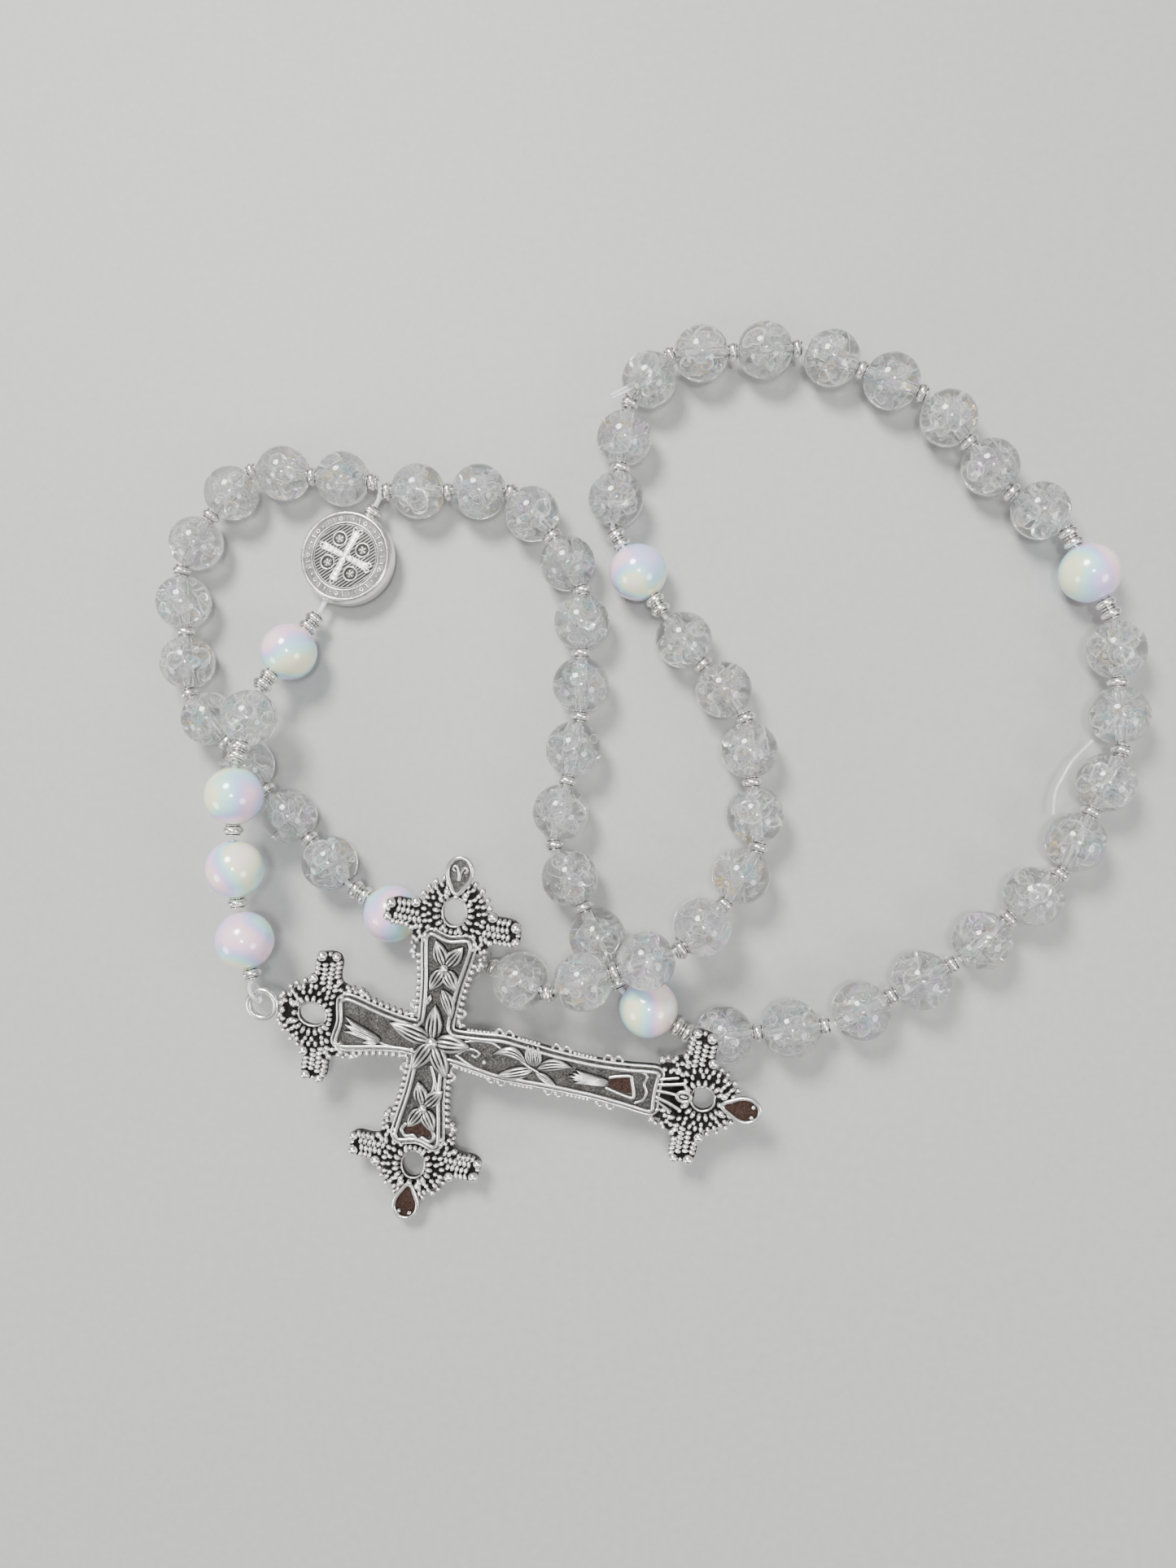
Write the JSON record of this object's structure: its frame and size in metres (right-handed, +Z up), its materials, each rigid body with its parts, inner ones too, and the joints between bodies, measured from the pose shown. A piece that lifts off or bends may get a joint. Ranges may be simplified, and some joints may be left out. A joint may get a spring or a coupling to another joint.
{
  "type": "rosary",
  "caption": "Prayer beads on clear line: crackled glass decades, lustre pearls, silver spacers, a round medal and an ornate cast cross, laid out in loops",
  "frame": {"origin": "on the surface that the rosary lies on, under the middle of the whole layout", "axes": "+Z up from that surface, +X along the layout's longest side, towards the loop's right lobe, +Y towards the top of the loop"},
  "size_m": [0.1412, 0.1272, 0.0149],
  "materials": {
    "crackle_glass": "clear glass crazed inside, faintly iridescent",
    "pearl": "glossy white with an iridescent lustre",
    "bright_silver": "bright polished silver",
    "clear_line": "clear nylon line",
    "antique_silver": "cast, darkened in the recesses and bright on the raised work",
    "medal_silver": "cast, darkened in the recesses, smooth rim"
  },
  "bodies": {
    "loop": {"thread_loop": "clear_line", "spacers_loop": "bright_silver"},
    "right_fold": {"thread_right_fold": "clear_line", "spacers_right_fold": "bright_silver"},
    "outer_fold": {"thread_outer_fold": "clear_line", "spacers_outer_fold": "bright_silver", "slack_strand": "clear_line"},
    "tail_1": {"thread_tail_1": "clear_line", "spacers_tail_1": "bright_silver"},
    "tail_2": {"thread_tail_2": "clear_line", "spacers_tail_2": "bright_silver"},
    "tail_3": {"thread_tail_3": "clear_line", "spacers_tail_3": "bright_silver"},
    "tail_4": {"thread_tail_4": "clear_line", "spacers_tail_4": "bright_silver"},
    "tail_5": {"thread_tail_5": "clear_line", "spacers_tail_5": "bright_silver"},
    "decade_1_beads_1_2": {"decade_1_beads_1_2": "crackle_glass"},
    "decade_1_bead_3": {"decade_1_bead_3": "crackle_glass"},
    "decade_1_bead_4": {"decade_1_bead_4": "crackle_glass"},
    "decade_1_beads_5_6": {"decade_1_beads_5_6": "crackle_glass"},
    "decade_1_beads_7_8": {"decade_1_beads_7_8": "crackle_glass"},
    "decade_1_beads_9_10": {"decade_1_beads_9_10": "crackle_glass"},
    "divider_pearl_1": {"divider_pearl_1": "pearl"},
    "decade_2_bead_1": {"decade_2_bead_1": "crackle_glass"},
    "decade_2_bead_2": {"decade_2_bead_2": "crackle_glass"},
    "decade_2_beads_3_4": {"decade_2_beads_3_4": "crackle_glass"},
    "decade_2_bead_5": {"decade_2_bead_5": "crackle_glass"},
    "decade_2_bead_6": {"decade_2_bead_6": "crackle_glass"},
    "decade_2_beads_7_8": {"decade_2_beads_7_8": "crackle_glass"},
    "decade_2_beads_9_10": {"decade_2_beads_9_10": "crackle_glass"},
    "divider_pearl_2": {"divider_pearl_2": "pearl"},
    "decade_3_beads_1_2": {"decade_3_beads_1_2": "crackle_glass"},
    "decade_3_bead_3": {"decade_3_bead_3": "crackle_glass"},
    "decade_3_beads_4_5": {"decade_3_beads_4_5": "crackle_glass"},
    "decade_3_beads_6_7": {"decade_3_beads_6_7": "crackle_glass"},
    "decade_3_beads_8_9": {"decade_3_beads_8_9": "crackle_glass"},
    "decade_3_bead_10": {"decade_3_bead_10": "crackle_glass"},
    "divider_pearl_3": {"divider_pearl_3": "pearl"},
    "decade_4_beads_1_2": {"decade_4_beads_1_2": "crackle_glass"},
    "decade_4_beads_3_4": {"decade_4_beads_3_4": "crackle_glass"},
    "decade_4_beads_5_6": {"decade_4_beads_5_6": "crackle_glass"},
    "decade_4_beads_7_8": {"decade_4_beads_7_8": "crackle_glass"},
    "decade_4_beads_9_10": {"decade_4_beads_9_10": "crackle_glass"},
    "divider_pearl_4": {"divider_pearl_4": "pearl"},
    "decade_5_beads_1_2": {"decade_5_beads_1_2": "crackle_glass"},
    "decade_5_beads_3_4": {"decade_5_beads_3_4": "crackle_glass"},
    "decade_5_beads_5_6": {"decade_5_beads_5_6": "crackle_glass"},
    "decade_5_bead_7": {"decade_5_bead_7": "crackle_glass"},
    "decade_5_bead_8": {"decade_5_bead_8": "crackle_glass"},
    "decade_5_beads_9_10": {"decade_5_beads_9_10": "crackle_glass"},
    "centre_medal": {"centre_medal": "medal_silver"},
    "tail_pearl_1": {"tail_pearl_1": "pearl"},
    "tail_crackle_2": {"tail_crackle_2": "crackle_glass"},
    "tail_pearl_3": {"tail_pearl_3": "pearl"},
    "tail_pearl_4": {"tail_pearl_4": "pearl"},
    "tail_pearl_5": {"tail_pearl_5": "pearl"},
    "cross": {"cross": "antique_silver"}
  },
  "joints": [
    {"name": "right_fold_lift", "type": "hinge", "parent": "loop", "child": "right_fold", "pos_m": [0.02516, 0.05969, 0.0041], "axis": [0.0251, -0.9997, 0], "range_deg": [0, 28]},
    {"name": "outer_fold_lift", "type": "hinge", "parent": "right_fold", "child": "outer_fold", "pos_m": [0.04246, 0.05189, 0.0041], "axis": [0.024, -0.9997, 0], "range_deg": [0, 28]},
    {"name": "tail_1_lift", "type": "hinge", "parent": "loop", "child": "tail_1", "pos_m": [-0.04634, 0.0231, 0.0026], "axis": [-1, 0, 0], "range_deg": [0, 10]},
    {"name": "tail_2_lift", "type": "hinge", "parent": "tail_1", "child": "tail_2", "pos_m": [-0.05354, 0.0106, 0.0077], "axis": [-1, 0, 0], "range_deg": [0, 10]},
    {"name": "tail_3_lift", "type": "hinge", "parent": "tail_2", "child": "tail_3", "pos_m": [-0.05504, -0.0003, 0.0114], "axis": [-1, 0, 0], "range_deg": [0, 10]},
    {"name": "tail_4_lift", "type": "hinge", "parent": "tail_3", "child": "tail_4", "pos_m": [-0.05564, -0.01051, 0.01], "axis": [-1, 0, 0], "range_deg": [0, 10]},
    {"name": "tail_5_lift", "type": "hinge", "parent": "tail_4", "child": "tail_5", "pos_m": [-0.05544, -0.0206, 0.008], "axis": [-0.9397, -0.342, 0], "range_deg": [0, 10]},
    {"name": "cross_lift", "type": "hinge", "parent": "tail_5", "child": "cross", "pos_m": [-0.05238, -0.0319, 0.0088], "axis": [-0.788, -0.6157, 0], "range_deg": [0, 40]},
    {"name": "decade_1_beads_1_2_spin", "type": "hinge", "parent": "loop", "child": "decade_1_beads_1_2", "pos_m": [-0.04715, 0.04337, 0.00415], "axis": [-0.9921, 0.125, 0.0051], "continuous": true},
    {"name": "decade_1_bead_3_spin", "type": "hinge", "parent": "loop", "child": "decade_1_bead_3", "pos_m": [-0.0596, 0.04122, 0.00415], "axis": [-0.686, -0.7275, -0.0109], "continuous": true},
    {"name": "decade_1_bead_4_spin", "type": "hinge", "parent": "loop", "child": "decade_1_bead_4", "pos_m": [-0.06489, 0.03374, 0.0041], "axis": [-0.46, -0.8879, 0], "continuous": true},
    {"name": "decade_1_beads_5_6_spin", "type": "hinge", "parent": "loop", "child": "decade_1_beads_5_6", "pos_m": [-0.06614, 0.0203, 0.0041], "axis": [0.0963, -0.9954, 0], "continuous": true},
    {"name": "decade_1_beads_7_8_spin", "type": "hinge", "parent": "loop", "child": "decade_1_beads_7_8", "pos_m": [-0.05919, 0.00384, 0.0041], "axis": [0.6459, -0.7634, 0], "continuous": true},
    {"name": "decade_1_beads_9_10_spin", "type": "hinge", "parent": "loop", "child": "decade_1_beads_9_10", "pos_m": [-0.04659, -0.01048, 0.00415], "axis": [0.6743, -0.7385, 0.0054], "continuous": true},
    {"name": "divider_pearl_1_spin", "type": "hinge", "parent": "loop", "child": "divider_pearl_1", "pos_m": [-0.03419, -0.02116, 0.00415], "axis": [0.8431, -0.5377, -0.0066], "continuous": true},
    {"name": "decade_2_bead_1_spin", "type": "hinge", "parent": "loop", "child": "decade_2_bead_1", "pos_m": [-0.02398, -0.02686, 0.00415], "axis": [0.9191, -0.3939, 0.0109], "continuous": true},
    {"name": "decade_2_bead_2_spin", "type": "hinge", "parent": "loop", "child": "decade_2_bead_2", "pos_m": [-0.01519, -0.03026, 0.00685], "axis": [0.8151, -0.2781, 0.5082], "continuous": true},
    {"name": "decade_2_beads_3_4_spin", "type": "hinge", "parent": "loop", "child": "decade_2_beads_3_4", "pos_m": [-0.00204, -0.02871, 0.00945], "axis": [0.9476, 0.3194, -0.0053], "continuous": true},
    {"name": "decade_2_bead_5_spin", "type": "hinge", "parent": "loop", "child": "decade_2_bead_5", "pos_m": [0.00981, -0.02276, 0.0073], "axis": [0.6316, 0.6316, -0.4496], "continuous": true},
    {"name": "decade_2_bead_6_spin", "type": "hinge", "parent": "loop", "child": "decade_2_bead_6", "pos_m": [0.01521, -0.01586, 0.0047], "axis": [0.5241, 0.8449, -0.107], "continuous": true},
    {"name": "decade_2_beads_7_8_spin", "type": "hinge", "parent": "loop", "child": "decade_2_beads_7_8", "pos_m": [0.01691, -0.00281, 0.00415], "axis": [-0.0821, 0.9966, -0.0055], "continuous": true},
    {"name": "decade_2_beads_9_10_spin", "type": "hinge", "parent": "loop", "child": "decade_2_beads_9_10", "pos_m": [0.01028, 0.01399, 0.0041], "axis": [-0.6069, 0.7948, 0], "continuous": true},
    {"name": "divider_pearl_2_spin", "type": "hinge", "parent": "loop", "child": "divider_pearl_2", "pos_m": [0.00111, 0.02755, 0.00415], "axis": [-0.5026, 0.8645, 0.0067], "continuous": true},
    {"name": "decade_3_beads_1_2_spin", "type": "hinge", "parent": "loop", "child": "decade_3_beads_1_2", "pos_m": [-0.00144, 0.04287, 0.0042], "axis": [0.1339, 0.991, 0], "continuous": true},
    {"name": "decade_3_bead_3_spin", "type": "hinge", "parent": "loop", "child": "decade_3_bead_3", "pos_m": [0.00281, 0.056, 0.0042], "axis": [0.6445, 0.7646, 0], "continuous": true},
    {"name": "decade_3_beads_4_5_spin", "type": "hinge", "parent": "loop", "child": "decade_3_beads_4_5", "pos_m": [0.0149, 0.05959, 0.00415], "axis": [0.9999, 0.0103, -0.0052], "continuous": true},
    {"name": "decade_3_beads_6_7_spin", "type": "hinge", "parent": "right_fold", "child": "decade_3_beads_6_7", "pos_m": [0.0331, 0.05612, 0.0041], "axis": [0.9116, -0.411, 0], "continuous": true},
    {"name": "decade_3_beads_8_9_spin", "type": "hinge", "parent": "outer_fold", "child": "decade_3_beads_8_9", "pos_m": [0.04773, 0.04487, 0.00415], "axis": [0.6, -0.8, 0.0056], "continuous": true},
    {"name": "decade_3_bead_10_spin", "type": "hinge", "parent": "outer_fold", "child": "decade_3_bead_10", "pos_m": [0.05706, 0.03472, 0.0042], "axis": [0.8082, -0.5889, 0], "continuous": true},
    {"name": "divider_pearl_3_spin", "type": "hinge", "parent": "outer_fold", "child": "divider_pearl_3", "pos_m": [0.06331, 0.02575, 0.0042], "axis": [0.4169, -0.909, 0], "continuous": true},
    {"name": "decade_4_beads_1_2_spin", "type": "hinge", "parent": "outer_fold", "child": "decade_4_beads_1_2", "pos_m": [0.0665, 0.01047, 0.00415], "axis": [0.0167, -0.9998, -0.0056], "continuous": true},
    {"name": "decade_4_beads_3_4_spin", "type": "hinge", "parent": "outer_fold", "child": "decade_4_beads_3_4", "pos_m": [0.06231, -0.00726, 0.0041], "axis": [-0.462, -0.8869, 0], "continuous": true},
    {"name": "decade_4_beads_5_6_spin", "type": "hinge", "parent": "outer_fold", "child": "decade_4_beads_5_6", "pos_m": [0.051, -0.0216, 0.0041], "axis": [-0.7581, -0.6522, 0], "continuous": true},
    {"name": "decade_4_beads_7_8_spin", "type": "hinge", "parent": "right_fold", "child": "decade_4_beads_7_8", "pos_m": [0.03527, -0.03204, 0.0041], "axis": [-0.8869, -0.4619, 0], "continuous": true},
    {"name": "decade_4_beads_9_10_spin", "type": "hinge", "parent": "loop", "child": "decade_4_beads_9_10", "pos_m": [0.01723, -0.03718, 0.0041], "axis": [-0.9941, -0.1084, 0], "continuous": true},
    {"name": "divider_pearl_4_spin", "type": "hinge", "parent": "loop", "child": "divider_pearl_4", "pos_m": [0.00229, -0.03408, 0.0041], "axis": [-0.8494, 0.5278, 0], "continuous": true},
    {"name": "decade_5_beads_1_2_spin", "type": "hinge", "parent": "loop", "child": "decade_5_beads_1_2", "pos_m": [-0.00678, -0.02019, 0.0041], "axis": [-0.4279, 0.9038, 0], "continuous": true},
    {"name": "decade_5_beads_3_4_spin", "type": "hinge", "parent": "loop", "child": "decade_5_beads_3_4", "pos_m": [-0.00909, -0.00231, 0.0041], "axis": [0.1992, 0.98, 0], "continuous": true},
    {"name": "decade_5_beads_5_6_spin", "type": "hinge", "parent": "loop", "child": "decade_5_beads_5_6", "pos_m": [-0.00709, 0.01595, 0.0041], "axis": [0.0164, 0.9999, 0], "continuous": true},
    {"name": "decade_5_bead_7_spin", "type": "hinge", "parent": "loop", "child": "decade_5_bead_7", "pos_m": [-0.00909, 0.02915, 0.0041], "axis": [-0.4689, 0.8833, 0], "continuous": true},
    {"name": "decade_5_bead_8_spin", "type": "hinge", "parent": "loop", "child": "decade_5_bead_8", "pos_m": [-0.01429, 0.0366, 0.0041], "axis": [-0.6678, 0.7444, 0], "continuous": true},
    {"name": "decade_5_beads_9_10_spin", "type": "hinge", "parent": "loop", "child": "decade_5_beads_9_10", "pos_m": [-0.02666, 0.04038, 0.0041], "axis": [-0.9992, 0.0411, 0], "continuous": true},
    {"name": "centre_medal_spin", "type": "hinge", "parent": "loop", "child": "centre_medal", "pos_m": [-0.04199, 0.03115, 0.00293], "axis": [-0.4745, -0.8795, -0.0358], "continuous": true},
    {"name": "tail_pearl_1_spin", "type": "hinge", "parent": "tail_1", "child": "tail_pearl_1", "pos_m": [-0.04994, 0.01684, 0.00515], "axis": [-0.4706, -0.817, 0.3333], "continuous": true},
    {"name": "tail_crackle_2_spin", "type": "hinge", "parent": "tail_2", "child": "tail_crackle_2", "pos_m": [-0.05409, 0.00661, 0.00905], "axis": [-0.1292, -0.939, 0.3187], "continuous": true},
    {"name": "tail_pearl_3_spin", "type": "hinge", "parent": "tail_3", "child": "tail_pearl_3", "pos_m": [-0.05529, -0.00463, 0.01081], "axis": [-0.0582, -0.989, -0.1357], "continuous": true},
    {"name": "tail_pearl_4_spin", "type": "hinge", "parent": "tail_4", "child": "tail_pearl_4", "pos_m": [-0.05556, -0.01479, 0.00915], "axis": [0.0194, -0.9808, -0.1942], "continuous": true},
    {"name": "tail_pearl_5_spin", "type": "hinge", "parent": "tail_5", "child": "tail_pearl_5", "pos_m": [-0.05439, -0.02485, 0.008], "axis": [0.2402, -0.9707, 0], "continuous": true}
  ]
}
